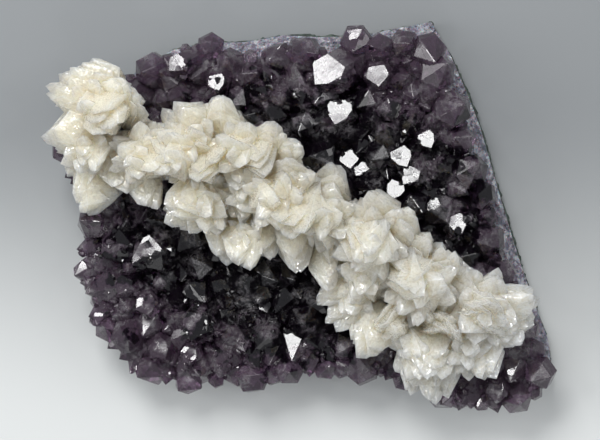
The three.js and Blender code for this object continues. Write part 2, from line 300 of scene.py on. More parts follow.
def corner_clouds(normals: np.ndarray, reaches: np.ndarray) -> list[np.ndarray]:
    """Works out the corners of solids that are each the space inside some planes.

    Every three planes of a solid meet in a point, and the points that lie inside all the other
    planes are its corners.

    Args:
        normals: Outward directions, of shape (solids, planes, 3).
        reaches: How far each plane is from the origin along its direction.

    Returns:
        Rows of corners for each solid.
    """
    planes = range(normals.shape[1])
    triples = np.array([(i, j, k) for i in planes for j in planes[i + 1:] for k in planes[j + 1:]])
    clouds = []
    for normal, reach in zip(normals, reaches):
        a, b, c = (normal[triples[:, i]] for i in range(3))
        ra, rb, rc = (reach[triples[:, i], None] for i in range(3))
        bc, ca, ab = np.cross(b, c), np.cross(c, a), np.cross(a, b)
        det = (a * bc).sum(axis=1, keepdims=True)
        fine = np.abs(det[:, 0]) > 1e-6
        meet = (ra * bc + rb * ca + rc * ab)[fine] / det[fine]
        meet = meet[(meet @ normal.T <= reach + 1e-6).all(axis=1)]
        apart = np.linalg.norm(meet[:, None] - meet[None], axis=2) < 5e-3
        clouds.append(meet[~np.tril(apart, -1).any(axis=1)])
    return clouds


def crystal_object(
    name: str, points: np.ndarray, axis: np.ndarray, width: float
) -> bpy.types.Object:
    """Builds a crystal as the hull of its corners, with cut edges and a map along its axis.

    Args:
        name: The object's name.
        points: Its corners in metres.
        axis: The crystal's axis.
        width: How wide the cut edges are in metres.

    Returns:
        The crystal, closed, with its faces outward.
    """
    solid = bmesh.new()
    corners = [solid.verts.new(point) for point in points]
    hull = bmesh.ops.convex_hull(solid, input=corners)
    inner = set(hull["geom_interior"] + hull["geom_unused"])
    bmesh.ops.delete(solid, geom=[v for v in inner if isinstance(v, bmesh.types.BMVert)])
    bmesh.ops.dissolve_limit(
        solid, angle_limit=np.radians(2), verts=solid.verts, edges=solid.edges
    )
    cut = bmesh.ops.bevel(
        solid,
        geom=solid.edges,
        offset=width,
        affect="EDGES",
        segments=1,
        profile=0.5,
        clamp_overlap=True,
    )
    rims = set(cut["faces"])
    bmesh.ops.recalc_face_normals(solid, faces=solid.faces)
    grain = solid.loops.layers.uv.new("grain")
    # The rim map marks the cut edges, which the calcite finish gives a painted highlight.
    rim = solid.loops.layers.uv.new("rim")
    along = Vector(axis)
    start = points[0][0] * 7
    for face in solid.faces:
        across = along.cross(face.normal)
        across = across.normalized() if across.length > 1e-6 else Vector((1, 0, 0))
        for loop in face.loops:
            place = loop.vert.co
            loop[grain].uv = (place.dot(across) + start, place.dot(along))
            loop[rim].uv = (float(face in rims), 0.0)
    mesh = bpy.data.meshes.new(name)
    solid.to_mesh(mesh)
    solid.free()
    crystal = bpy.data.objects.new(name, mesh)
    bpy.context.scene.collection.objects.link(crystal)
    return crystal


def finish_piece(
    piece: bpy.types.Object, node: str, material: bpy.types.Material
) -> bpy.types.Object:
    """Gives a piece its material and body, hides the CAD node that it stands for, and reports it.

    Args:
        piece: The finished object.
        node: The CAD node that it stands for.
        material: Its material.

    Returns:
        The piece.
    """
    piece.data.materials.clear()
    piece.data.materials.append(material)
    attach(piece, "root")
    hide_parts(node)
    log.info("%s: %d faces", piece.name, len(piece.data.polygons))
    return piece


# Finishes


@dataclass(frozen=True)
class AmethystFinish:
    """Amethyst: glassy quartz, smoky purple, clear at thin edges and cloudy in veils."""

    deep: str = "#231a26"
    violet: str = "#4f3c52"
    pale: str = "#857084"
    veil: str = "#ece6ec"
    inside: str = "#8c5a8c"
    density: float = 120.0
    ior: float = 1.544
    transmission: float = 0.86
    patch_mm: float = 9.0
    veil_mm: float = 4.5
    face_mm: float = 3.5
    face_slope: float = 0.07
    rim_reach: tuple[float, float, float] = (9.2, 12.5, 0.0)
    rim_weight: float = 0.75
    veil_level: float = 0.52

    def material(self) -> bpy.types.Material:
        """Builds the material.

        Returns:
            A see-through material whose colour comes from depth, patches and veils.
        """
        # Growth faces are flat as glass, so a face flashes whole and shows the dark inside.
        material, tree, shader = new_material("amethyst_quartz", self.inside, self.density)
        place = add_node(tree, "ShaderNodeTexCoord").outputs["Object"]
        patches = add_node(
            tree,
            "ShaderNodeTexNoise",
            values={"Scale": 1 / (self.patch_mm * MM), "Detail": 3.0, "Roughness": 0.55},
            links={"Vector": place},
        )
        veils = add_node(
            tree,
            "ShaderNodeTexNoise",
            values={
                "Scale": 1 / (self.veil_mm * MM),
                "Detail": 4.0,
                "Roughness": 0.6,
                "Distortion": 1.2,
            },
            links={"Vector": place},
        )
        # The crystals are palest where the crust thins out towards the rim.
        squashed = add_node(
            tree,
            "ShaderNodeMapping",
            values={"Scale": self.rim_reach},
            links={"Vector": place},
        )
        rimward = add_node(
            tree, "ShaderNodeVectorMath", {"operation": "LENGTH"}, links={0: squashed.outputs[0]}
        )
        depth = add_node(
            tree,
            "ShaderNodeMath",
            {"operation": "MULTIPLY_ADD"},
            values={1: self.rim_weight},
            links={0: rimward.outputs["Value"], 2: patches.outputs["Fac"]},
        )
        tone = add_node(
            tree,
            "ShaderNodeValToRGB",
            links={"Fac": depth.outputs[0]},
            stops=((0.45, self.deep), (0.95, self.deep), (1.22, self.violet), (1.5, self.pale)),
        )
        # A veil is a thin curved sheet, which shows where the noise passes its middle value.
        middle = add_node(
            tree,
            "ShaderNodeMath",
            {"operation": "SUBTRACT"},
            values={1: self.veil_level},
            links={0: veils.outputs["Fac"]},
        )
        sheet = add_node(
            tree, "ShaderNodeMath", {"operation": "ABSOLUTE"}, links={0: middle.outputs[0]}
        )
        wisp = add_node(
            tree,
            "ShaderNodeMapRange",
            values={"From Min": 0.0, "From Max": 0.08, "To Min": 0.9, "To Max": 0.0},
            links={"Value": sheet.outputs[0]},
        )
        cloudy = add_node(
            tree,
            "ShaderNodeMapRange",
            values={"From Min": 0.48, "From Max": 0.64},
            links={"Value": patches.outputs["Fac"]},
        )
        cloud = add_node(
            tree,
            "ShaderNodeMath",
            {"operation": "MULTIPLY"},
            links={0: wisp.outputs[0], 1: cloudy.outputs[0]},
        )
        colour = add_node(
            tree,
            "ShaderNodeMix",
            {"data_type": "RGBA"},
            values={7: linear(self.veil)},
            links={0: cloud.outputs[0], 6: tone.outputs["Color"]},
        )
        frost = add_node(
            tree,
            "ShaderNodeMapRange",
            values={"From Min": 0.0, "From Max": 1.0, "To Min": 0.04, "To Max": 0.3},
            links={"Value": cloudy.outputs[0]},
        )
        bump = add_node(
            tree,
            "ShaderNodeBump",
            values={"Strength": 1.0, "Distance": 1.0},
            links={"Height": facet_relief(tree, place, self.face_mm * MM, self.face_slope)},
        )
        tree.links.new(colour.outputs[2], shader.inputs["Base Color"])
        tree.links.new(frost.outputs[0], shader.inputs["Roughness"])
        tree.links.new(bump.outputs[0], shader.inputs["Normal"])
        shader.inputs["IOR"].default_value = self.ior
        shader.inputs["Transmission Weight"].default_value = self.transmission
        return material


@dataclass(frozen=True)
class CalciteFinish:
    """Calcite: frosted, striated and translucent, cream along the ridge and white at its end."""

    cream: str = "#f8eed6"
    white: str = "#f9f6ec"
    shade: str = "#e2d8c4"
    # Painted highlight on the cut edges, partly standing in for light caught on them and partly for
    # their whiter frosted surface.
    rim: str = "#fffdf6"
    rim_highlight_share: float = 0.35
    ior: float = 1.58
    scatter_mm: float = 12.0
    transmission: float = 0.28
    inside: str = "#ece0bc"
    density: float = 4.0
    line_mm: float = 0.45
    line_run_mm: float = 4.0
    wisp_mm: float = 2.2
    step_mm: float = 1.0
    step_run_mm: float = 2.8
    step_slope: float = 0.2
    spark_mm: float = 0.55
    spark_slope: float = 0.3
    patch_mm: float = 5.0
    white_from: float = 0.0
    white_to: float = 0.09
    coat_roughness: float = 0.05

    def material(self) -> bpy.types.Material:
        """Builds the material.

        Returns:
            A material that lets light in a little way and carries growth lines.
        """
        # Etched growth faces over a milky body: a soft glow with fine glints on top.
        material, tree, shader = new_material("calcite_frosted", self.inside, self.density)
        coords = add_node(tree, "ShaderNodeTexCoord")
        place = coords.outputs["Object"]
        along = add_node(tree, "ShaderNodeSeparateXYZ", links={0: place})
        whiten = add_node(
            tree,
            "ShaderNodeMapRange",
            values={"From Min": self.white_from, "From Max": self.white_to},
            links={"Value": along.outputs["X"]},
        )
        body = add_node(
            tree,
            "ShaderNodeMix",
            {"data_type": "RGBA"},
            values={6: linear(self.cream), 7: linear(self.white)},
            links={0: whiten.outputs[0]},
        )
        patches = add_node(
            tree,
            "ShaderNodeTexNoise",
            values={"Scale": 1 / (self.patch_mm * MM), "Detail": 4.0, "Roughness": 0.6},
            links={"Vector": place},
        )
        fine = add_node(
            tree,
            "ShaderNodeTexNoise",
            values={
                "Scale": 1 / (self.wisp_mm * MM),
                "Detail": 3.0,
                "Roughness": 0.6,
                "Distortion": 1.5,
            },
            links={"Vector": place},
        )
        cloud = add_node(
            tree,
            "ShaderNodeMapRange",
            values={"From Min": 0.46, "From Max": 0.66},
            links={"Value": fine.outputs["Fac"]},
        )
        # Real growth lines are under a tenth of a millimetre apart. These are drawn as coarse as
        # the render can show, and so are the steps and glints below.
        run = add_node(
            tree,
            "ShaderNodeMapping",
            values={"Scale": (1.0, self.line_mm / self.line_run_mm, 1.0)},
            links={"Vector": coords.outputs["UV"]},
        )
        lines = add_node(
            tree,
            "ShaderNodeTexNoise",
            values={"Scale": 1 / (self.line_mm * MM), "Detail": 2.0, "Distortion": 0.6},
            links={"Vector": run.outputs[0]},
        )
        dark = add_node(
            tree,
            "ShaderNodeMapRange",
            values={"From Min": 0.5, "From Max": 0.7, "To Max": 0.8},
            links={"Value": lines.outputs["Fac"]},
        )
        marks = add_node(
            tree,
            "ShaderNodeMath",
            {"operation": "MAXIMUM"},
            links={0: cloud.outputs[0], 1: dark.outputs[0]},
        )
        colour = add_node(
            tree,
            "ShaderNodeMix",
            {"data_type": "RGBA"},
            values={7: linear(self.shade)},
            links={0: marks.outputs[0], 6: body.outputs[2]},
        )
        # The cut edges carry a map of their own, so that they get a painted highlight: a near-white
        # colour mixed in, partly the whiter frosted edges of calcite and partly light caught on the
        # edges.
        rims = add_node(tree, "ShaderNodeUVMap", {"uv_map": "rim"})
        on_rim = add_node(tree, "ShaderNodeSeparateXYZ", links={0: rims.outputs[0]})
        painted_rim_highlight = add_node(
            tree,
            "ShaderNodeMath",
            {"operation": "MULTIPLY"},
            values={1: self.rim_highlight_share},
            links={0: on_rim.outputs["X"]},
        )
        rim_highlighted = add_node(
            tree,
            "ShaderNodeMix",
            {"data_type": "RGBA"},
            values={7: linear(self.rim)},
            links={0: painted_rim_highlight.outputs[0], 6: colour.outputs[2]},
        )
        # Growth steps are drawn out along each crystal, so they follow its own map, in metres.
        grain = add_node(
            tree,
            "ShaderNodeMapping",
            values={"Scale": (1.0, self.step_mm / self.step_run_mm, 1.0)},
            links={"Vector": coords.outputs["UV"]},
        )
        steps = facet_relief(tree, grain.outputs[0], self.step_mm * MM, self.step_slope)
        sparks = facet_relief(tree, coords.outputs["UV"], self.spark_mm * MM, self.spark_slope)
        both = add_node(tree, "ShaderNodeMath", {"operation": "ADD"}, links={0: steps, 1: sparks})
        bump = add_node(
            tree,
            "ShaderNodeBump",
            values={"Strength": 1.0, "Distance": 1.0},
            links={"Height": both.outputs[0]},
        )
        gloss = add_node(
            tree,
            "ShaderNodeMapRange",
            values={"From Min": 0.35, "From Max": 0.7, "To Min": 0.08, "To Max": 0.25},
            links={"Value": patches.outputs["Fac"]},
        )
        tree.links.new(rim_highlighted.outputs[2], shader.inputs["Base Color"])
        tree.links.new(gloss.outputs[0], shader.inputs["Roughness"])
        tree.links.new(bump.outputs[0], shader.inputs["Normal"])
        tree.links.new(bump.outputs[0], shader.inputs["Coat Normal"])
        shader.inputs["Coat Weight"].default_value = 1.0
        shader.inputs["Coat Roughness"].default_value = self.coat_roughness
        shader.inputs["IOR"].default_value = self.ior
        shader.inputs["Subsurface Weight"].default_value = 1.0
        shader.inputs["Subsurface Radius"].default_value = (1.0, 0.92, 0.8)
        shader.inputs["Subsurface Scale"].default_value = self.scatter_mm * MM
        shader.inputs["Transmission Weight"].default_value = self.transmission
        return material


@dataclass(frozen=True)
class QuartzFinish:
    """Broken granular quartz: grey-white grains that each catch the light their own way."""

    pale: str = "#a9acb0"
    grey: str = "#5f646b"
    lilac: str = "#6f6878"
    grain_mm: float = 1.6
    mass_mm: float = 6.0
    grain_slope: float = 0.5
    roughness: float = 0.3
    ior: float = 1.544
    milkiness: float = 0.4
    scatter_mm: float = 0.8

    def material(self) -> bpy.types.Material:
        """Builds the material.

        Returns:
            A glossy material with a tone of its own for each grain.
        """
        # A broken edge of clear and milky grains, which looks like coarse sugar.
        material, tree, shader = new_material("granular_quartz")
        place = add_node(tree, "ShaderNodeTexCoord").outputs["Object"]
        cells = add_node(
            tree,
            "ShaderNodeTexVoronoi",
            values={"Scale": 1 / (self.grain_mm * MM)},
            links={"Vector": place},
        )
        grain = add_node(tree, "ShaderNodeSeparateXYZ", links={0: cells.outputs["Color"]})
        mass = add_node(
            tree,
            "ShaderNodeTexNoise",
            values={"Scale": 1 / (self.mass_mm * MM), "Detail": 4.0, "Roughness": 0.6},
            links={"Vector": place},
        )
        mixed = add_node(
            tree,
            "ShaderNodeMath",
            {"operation": "MULTIPLY_ADD"},
            values={1: 0.35},
            links={0: grain.outputs[0], 2: mass.outputs["Fac"]},
        )
        tone = add_node(
            tree,
            "ShaderNodeValToRGB",
            links={"Fac": mixed.outputs[0]},
            stops=((0.45, self.grey), (0.62, self.lilac), (0.9, self.pale)),
        )
        relief = facet_relief(tree, place, 0.8 * self.grain_mm * MM, self.grain_slope)
        bump = add_node(
            tree,
            "ShaderNodeBump",
            values={"Strength": 1.0, "Distance": 1.0},
            links={"Height": relief},
        )
        tree.links.new(tone.outputs["Color"], shader.inputs["Base Color"])
        tree.links.new(bump.outputs[0], shader.inputs["Normal"])
        shader.inputs["Roughness"].default_value = self.roughness
        shader.inputs["IOR"].default_value = self.ior
        shader.inputs["Subsurface Weight"].default_value = self.milkiness
        shader.inputs["Subsurface Scale"].default_value = self.scatter_mm * MM
        return material


@dataclass(frozen=True)
class BasaltFinish:
    """Altered basalt: dull, dark green, with lighter green mineral films."""

    dark: str = "#1e2320"
    green: str = "#38433c"
    film: str = "#616c64"
    mottle_mm: float = 4.0
    grit_mm: float = 0.7
    grit_height_mm: float = 0.3
    roughness: float = 0.85

    def material(self) -> bpy.types.Material:
        """Builds the material.

        Returns:
            A rough material mottled at two sizes.
        """
        # Weathered rock with no gloss, so the rind reads as a dull green line.
        material, tree, shader = new_material("altered_basalt")
        place = add_node(tree, "ShaderNodeTexCoord").outputs["Object"]
        mottle = add_node(
            tree,
            "ShaderNodeTexNoise",
            values={"Scale": 1 / (self.mottle_mm * MM), "Detail": 6.0, "Roughness": 0.65},
            links={"Vector": place},
        )
        tone = add_node(
            tree,
            "ShaderNodeValToRGB",
            links={"Fac": mottle.outputs["Fac"]},
            stops=((0.35, self.dark), (0.52, self.green), (0.68, self.film)),
        )
        grit = add_node(
            tree,
            "ShaderNodeTexNoise",
            values={"Scale": 1 / (self.grit_mm * MM), "Detail": 3.0},
            links={"Vector": place},
        )
        bump = add_node(
            tree,
            "ShaderNodeBump",
            values={"Strength": 0.6, "Distance": self.grit_height_mm * MM},
            links={"Height": grit.outputs["Fac"]},
        )
        tree.links.new(tone.outputs["Color"], shader.inputs["Base Color"])
        tree.links.new(bump.outputs[0], shader.inputs["Normal"])
        shader.inputs["Roughness"].default_value = self.roughness
        return material


# Sub-assemblies


@dataclass
class QuartzPoints:
    """Six-sided quartz points, all worked out at once."""

    roots: np.ndarray
    axes: np.ndarray
    radii: np.ndarray
    shoulders: np.ndarray
    depths: np.ndarray
    twists: np.ndarray
    pushes: np.ndarray
    edge: float = 0.16 * MM

    def objects(self, name: str) -> list[bpy.types.Object]:
        """Builds each point as a closed solid.

        A point has a tip, a ring of six shoulder corners at its radius, and a ring of six foot
        corners below. The tip is pushed off the axis, which makes three end faces larger.

        Args:
            name: The start of each object's name.

        Returns:
            One object for each point.
        """
        turn = np.arange(6) * np.pi / 3
        ring = np.stack([np.cos(turn), np.sin(turn), np.zeros(6)], axis=1)
        rise = np.cos(np.pi / 6) * np.tan(SLOPE)
        local = np.zeros((len(self.radii), 13, 3))
        local[:, 0, :2] = self.pushes * self.radii[:, None]
        local[:, 0, 2] = self.shoulders + rise * self.radii
        local[:, 1:7] = ring * self.radii[:, None, None]
        # The shoulder drops where the tip is pushed away from it, so the end faces stay flat.
        drop = local[:, 1:7, :2] @ self.pushes[:, :, None]
        local[:, 1:7, 2] = self.shoulders[:, None] + 0.8 * drop[:, :, 0]
        local[:, 7:13] = ring * self.radii[:, None, None]
        local[:, 7:13, 2] = -self.depths[:, None]
        turned = np.einsum("nij,nkj->nki", frames_along(self.axes, self.twists), local)
        points = turned + self.roots[:, None, :]
        return [
            crystal_object(f"{name}_{i}", cloud, axis, self.edge)
            for i, (cloud, axis) in enumerate(zip(points, self.axes))
        ]


@dataclass
class AmethystCrust:
    """The crust of amethyst points: the CAD's own, and the small ones between them."""

    node: str = "amethyst_crust"
    slot: str = "amethyst"
    finish: AmethystFinish = field(default_factory=AmethystFinish)
    crust_top: float = 19 * MM
    probe_step: float = 1.6 * MM
    sizes_mm: tuple[float, ...] = (6.2, 5.0, 4.0, 3.1, 2.3, 1.7)
    crowding: float = 0.72
    rider_count: int = 380
    flash: tuple[float, float, float] = (-0.0699, 0.3794, 0.9186)
    seed: int = 41

    def probed(self) -> np.ndarray:
        """Looks straight down on the CAD crust from a grid of places.

        Returns:
            Rows of the point that was met and of the surface's direction there.
        """
        node = frame["nodes"][self.node]
        tree = BVHTree.FromPolygons(
            [v.co for v in node.data.vertices], [p.vertices for p in node.data.polygons]
        )
        low, high = (Vector(corner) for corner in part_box(self.node))
        xs = np.arange(low.x, high.x, self.probe_step)
        ys = np.arange(low.y, high.y, self.probe_step)
        seen = []
        for x in xs:
            for y in ys:
                hit, normal = tree.ray_cast(Vector((x, y, 0.1)), Vector((0, 0, -1)))[:2]
                if hit is not None:
                    seen.append((x, y, hit.z, *normal))
        return np.array(seen)

    def fillers(self) -> QuartzPoints:
        """Throws points onto the bare places, largest first, so that they crowd without hiding.

        Returns:
            The points.
        """
        rng = np.random.default_rng(self.seed)
        places = self.probed()
        bare = places[places[:, 2] < self.crust_top + 0.4 * MM]
        covered = places[places[:, 2] > self.crust_top + 2.5 * MM]
        kept: list[tuple[float, float, float]] = []
        for size in np.array(self.sizes_mm) * MM:
            order = rng.permutation(len(bare))
            for x, y in bare[order, :2]:
                x += rng.uniform(-0.5, 0.5) * self.probe_step
                y += rng.uniform(-0.5, 0.5) * self.probe_step
                near = np.hypot(covered[:, 0] - x, covered[:, 1] - y).min()
                if near < size * 0.45:
                    continue
                if kept:
                    others = np.array(kept)
                    gap = np.hypot(others[:, 0] - x, others[:, 1] - y)
                    if (gap < self.crowding * (others[:, 2] + size)).any():
                        continue
                kept.append((x, y, size))
        spots = np.array(kept)
        count = len(spots)
        radii = spots[:, 2] * rng.uniform(0.95, 1.25, count)
        axes = np.ones((count, 3))
        axes[:, :2] = rng.uniform(-1, 1, (count, 2)) * Spread.LEANING.value
        axes /= np.linalg.norm(axes, axis=1, keepdims=True)
        lift = rng.uniform(0.0, 0.45, count) * radii
        return QuartzPoints(
            roots=np.column_stack([spots[:, :2], self.crust_top + lift]),
            axes=axes,
            radii=radii,
            shoulders=radii * rng.uniform(-0.1, 0.35, count),
            depths=lift + 1.6 * MM,
            twists=rng.uniform(0, np.pi, count),
            pushes=rng.uniform(-0.3, 0.3, (count, 2)),
        )

    def riders(self) -> QuartzPoints:
        """Strews small points over the faces of the large ones.

        Returns:
            The points.
        """
        rng = np.random.default_rng(self.seed + 1)
        places = self.probed()
        dull = places[:, 3:] @ self.flash < np.cos(np.radians(12))
        tall = places[dull & (places[:, 2] > self.crust_top + 1.5 * MM), :3]
        spots = tall[rng.permutation(len(tall))[: self.rider_count]]
        count = len(spots)
        radii = rng.uniform(0.8, 2.2, count) * MM
        axes = np.ones((count, 3))
        axes[:, :2] = rng.uniform(-1, 1, (count, 2)) * Spread.WILD.value
        axes /= np.linalg.norm(axes, axis=1, keepdims=True)
        return QuartzPoints(
            roots=spots - axes * (0.5 * radii)[:, None],
            axes=axes,
            radii=radii,
            shoulders=radii * rng.uniform(0.0, 0.5, count),
            depths=radii * 0.8,
            twists=rng.uniform(0, np.pi, count),
            pushes=rng.uniform(-0.35, 0.35, (count, 2)),
        )

    def build(self) -> bpy.types.Object:
        """Builds and dresses the crust.

        Returns:
            The finished piece.
        """
        crust = merged_copy(frame["nodes"][self.node], "amethyst")
        united(crust, self.fillers().objects("filler") + self.riders().objects("rider"))
        return finish_piece(crust, self.node, self.finish.material())


@dataclass
class CalciteRidge:
    """The ridge of petal-like calcite crystals."""

    node: str = "calcite_ridge"
    slot: str = "calcite"
    finish: CalciteFinish = field(default_factory=CalciteFinish)
    belt: float = 0.5
    crust_top: float = 19.3
    upright_half_width: float = 0.56
    upright_lean: float = 2.0
    shoulder: float = 0.8
    shoulder_radius: float = 0.6
    petals_per_spray: int = 26
    dome_top: float = 6.0
    dome_spread: float = 70.0
    lean_at_top: float = 60.0
    lean_lost: float = 40.0
    root_lift: float = 4.0
    edge_mm: float = 0.18
    fine_edge_mm: float = 0.12
    smooth_deg: float = 32.0
    core_drop: float = 5.0
    plates_per_crystal: int = 4
    seed: int = 7
    sprays: tuple[tuple[float, ...], ...] = (
        (-80, 48, 15, 50), (-83, 29, 15, 45), (-61, 27, 15, 50), (-43, 30, 17, 56),
        (-22, 29, 17, 56), (-35, 9, 16, 50), (-6, 13, 18, 61), (12, 4, 15, 56),
        (-19, -6, 12, 42), (30, -5, 18, 58), (23, -28, 13, 42), (50, -22, 18, 58),
        (72, -32, 17, 54), (49, -48, 15, 48), (67, -47, 14, 46), (-20, 12, 13, 46),
        (27, -19, 14, 50),
    )
    crystals: tuple[tuple[float, ...], ...] = (
        (-97, 53, 44, -76, 46, 36, 7), (-90, 61, 42, -76, 50, 36, 7),
        (-83, 63, 40, -72, 49, 32, 8.5), (-62, 54, 46, -74, 46, 30, 8.5),
        (-70, 38, 55, -76, 50, 28, 10.5), (-57, 44, 42, -72, 43, 26, 7.5),
        (-99, 38, 42, -78, 37, 32, 9.5), (-92, 27, 36, -80, 33, 28, 7.5),
        (-78, 23, 46, -80, 36, 24, 8.5), (-87, 4, 31, -77, 20, 26, 9),
        (-68, 11, 34, -71, 25, 25, 8), (-43, 22, 55, -60, 31, 28, 9.5),
        (-55, 5, 36, -62, 21, 26, 7), (-60, 20, 45, -62, 32, 25, 8),
        (-48, 46, 44, -36, 35, 32, 7.5), (-27, 51, 42, -30, 34, 28, 8),
        (-38, 39, 54, -37, 27, 26, 8), (-31, 20, 59, -32, 32, 26, 9),
        (-11, 21, 58, -17, 33, 26, 8), (-5, 40, 44, -15, 27, 28, 8.5),
        (3, 33, 43, -11, 24, 26, 8.5), (-50, 9, 47, -32, 14, 28, 10.5),
        (-53, 2, 36, -37, 9, 27, 7), (-30, -17, 33, -29, 2, 26, 7),
        (-20, -18, 40, -22, 3, 27, 8.5), (-10, -14, 37, -13, 2, 26, 7),
        (2, -18, 41, -2, 2, 27, 8.5), (14, -25, 42, 10, -6, 27, 7),
        (7, -31, 33, 21, -20, 26, 7), (13, -40, 33, 27, -27, 26, 8),
        (24, -52, 37, 36, -34, 27, 9), (-3, 28, 52, -1, 11, 27, 8),
        (16, 25, 40, 12, 10, 27, 6.5), (3, 0, 63, 1, 13, 26, 11),
        (26, -10, 58, 29, 0, 26, 10), (30, 16, 46, 35, -3, 27, 7.5),
        (44, 7, 46, 37, -6, 27, 8.5), (52, -2, 46, 42, -15, 26, 8.5),
        (59, -7, 46, 55, -25, 27, 8), (69, -15, 44, 63, -30, 27, 8.5),
        (80, -19, 42, 71, -32, 27, 8), (74, -24, 57, 71, -36, 25, 9.5),
        (94, -24, 42, 77, -32, 28, 8), (93, -36, 37, 79, -36, 26, 7),
        (85, -46, 40, 77, -33, 26, 8), (75, -60, 38, 70, -42, 25, 9),
        (54, -57, 49, 54, -40, 27, 9), (44, -68, 32, 47, -50, 24, 6),
        (53, -71, 34, 52, -50, 24, 6.5), (62, -68, 33, 58, -48, 24, 6.5),
        (46, -20, 59, 45, -14, 26, 10), (60, -34, 56, 58, -40, 24, 9),
        (38, -34, 51, 38, -36, 24, 9),
    )

    def main_crystals(self) -> np.ndarray:
        """Lists the CAD's crystals with each one's own form.

        Returns:
            Rows of tip, root, half width, root taper, spread, turn, twist and flatness.
        """
        ridge = np.array(self.crystals, dtype=float)
        ridge = np.column_stack([ridge, np.full(len(ridge), 0.5)])
        sprays = np.array(self.sprays, dtype=float)
        turn = GOLDEN_ANGLE * np.arange(len(sprays))
        lean = self.upright_lean * np.column_stack([np.cos(turn), np.sin(turn)])
        upright = np.column_stack(
            [
                sprays[:, :2] + lean,
                sprays[:, 3],
                sprays[:, :2],
                np.full(len(sprays), self.crust_top),
                sprays[:, 2] * self.upright_half_width,
                np.zeros(len(sprays)),
            ]
        )
        rows = np.vstack([ridge, upright])
        number = np.arange(len(rows))
        form = [
            np.radians(30 + 10 * (number * 0.618 % 1)),
            2 * (number * 0.755 % 1),
            0.7 * (number * 0.57 % 1) - 0.35,
            0.68 + 0.22 * (number * 0.382 % 1),
        ]
        return np.column_stack([rows, *form])

    def parallel_crystals(self, parents: np.ndarray, count: int) -> np.ndarray:
        """Grows smaller crystals on each parent that run along it, so its faces get steps.

        Args:
            parents: Rows of the crystals that are grown on.
            count: How many each parent gets.

        Returns:
            Rows in the same order of columns.
        """
        rng = np.random.default_rng(self.seed)
        rows = np.repeat(parents, count, axis=0)
        total = len(rows)
        axes = rows[:, :3] - rows[:, 3:6]
        length = np.linalg.norm(axes, axis=1)
        axes /= length[:, None]
        frames = frames_along(axes, rows[:, 10])
        climb = rng.uniform(0.3, 0.92, total)
        out = np.where(climb < self.belt, 0.85, 0.85 * (1 - climb) / (1 - self.belt) + 0.12)
        turn = rng.uniform(0, 2 * np.pi, total)
        local = np.column_stack(
            [
                out * np.cos(turn) * rows[:, 6],
                out * np.sin(turn) * rows[:, 6] * rows[:, 11],
                climb * length,
            ]
        )
        size = rng.uniform(0.22, 0.5, total)
        tips = rows[:, 3:6] + np.einsum("nij,nj->ni", frames, local)
        tips += frames[:, :, 2] * (0.12 * length)[:, None]
        lean = axes + rng.normal(0, 0.07, (total, 3))
        lean /= np.linalg.norm(lean, axis=1, keepdims=True)
        rows = rows.copy()
        rows[:, :3] = tips
        rows[:, 3:6] = tips - lean * (length * (0.25 + 0.8 * size))[:, None]
        rows[:, 6] *= size
        rows[:, 7] = 0.2
        return rows

    def plates(self, parents: np.ndarray) -> np.ndarray:
        """Splits each crystal into thin plates that overlap like scales, tips stepping back.

        Plates are numbered from -1 up. A plate lies its number times 0.3 of the crystal's half
        thickness out from the middle, a random way aside, and its tip is drawn back by its number
        times a random part of the length.

        Args:
            parents: Rows of the crystals that are split.

        Returns:
            Rows in the same order of columns.
        """
        rng = np.random.default_rng(self.seed + 2)
        levels = np.tile(np.arange(self.plates_per_crystal) - 1.0, len(parents))
        rows = np.repeat(parents, self.plates_per_crystal, axis=0)
        total = len(rows)
        axes = rows[:, :3] - rows[:, 3:6]
        length = np.linalg.norm(axes, axis=1)
        axes /= length[:, None]
        frames = frames_along(axes, rows[:, 10])
        half = rows[:, 6]
        out = levels * 0.3 * half * rows[:, 11]
        aside = rng.uniform(-0.32, 0.32, total) * half
        back = np.abs(levels) * rng.uniform(0.05, 0.13, total) * length
        shift = frames[:, :, 1] * out[:, None] + frames[:, :, 0] * aside[:, None]
        swing = frames[:, :, 0] * (aside * 0.5)[:, None]
        rows = rows.copy()
        rows[:, :3] += shift + swing - axes * back[:, None]
        rows[:, 3:6] += shift * 0.4
        rows[:, 6] = half * rng.uniform(0.66, 0.96, total)
        rows[:, 10] += rng.uniform(-0.25, 0.25, total)
        rows[:, 11] = rng.uniform(0.26, 0.42, total)
        return rows

    def dome_crystals(self) -> np.ndarray:
        """Covers each spray with flat crystals that overlap like roof tiles, tips outward.

        The tips lie on a dome. From the middle of the dome to its edge the crystals lean from
        steep to nearly level, and each is turned by about the golden angle from the last.

        Returns:
            Rows in the same order of columns as the main ones.
        """
        rng = np.random.default_rng(self.seed + 1)
        out = []
        for x, y, reach, top in self.sprays:
            root = np.array([x, y, self.crust_top + self.root_lift])
            for i in range(self.petals_per_spray):
                share = np.sqrt(i / (self.petals_per_spray - 1))
                down = np.radians(self.dome_top + self.dome_spread * share + rng.uniform(-4, 4))
                turn = GOLDEN_ANGLE * i + x + rng.uniform(-0.5, 0.5)
                lean = np.radians(self.lean_at_top - self.lean_lost * share + rng.uniform(-8, 8))
                way = np.array([np.cos(turn), np.sin(turn), 0])
                size = rng.uniform(0.92, 1.05)
                tip = root + size * way * reach * 1.08 * np.sin(down)
                tip[2] += size * (top - root[2]) * np.cos(down)
                axis = way * np.cos(lean) + [0, 0, np.sin(lean)]
                out.append(
                    [
                        *tip,
                        *(tip - axis * reach * rng.uniform(0.95, 1.3)),
                        reach * rng.uniform(0.24, 0.4),
                        0.2,
                        np.radians(rng.uniform(26, 42)),
                        rng.uniform(0, 2),
                        rng.uniform(-0.45, 0.45),
                        rng.uniform(0.36, 0.6),
                    ]
                )
        return np.array(out)

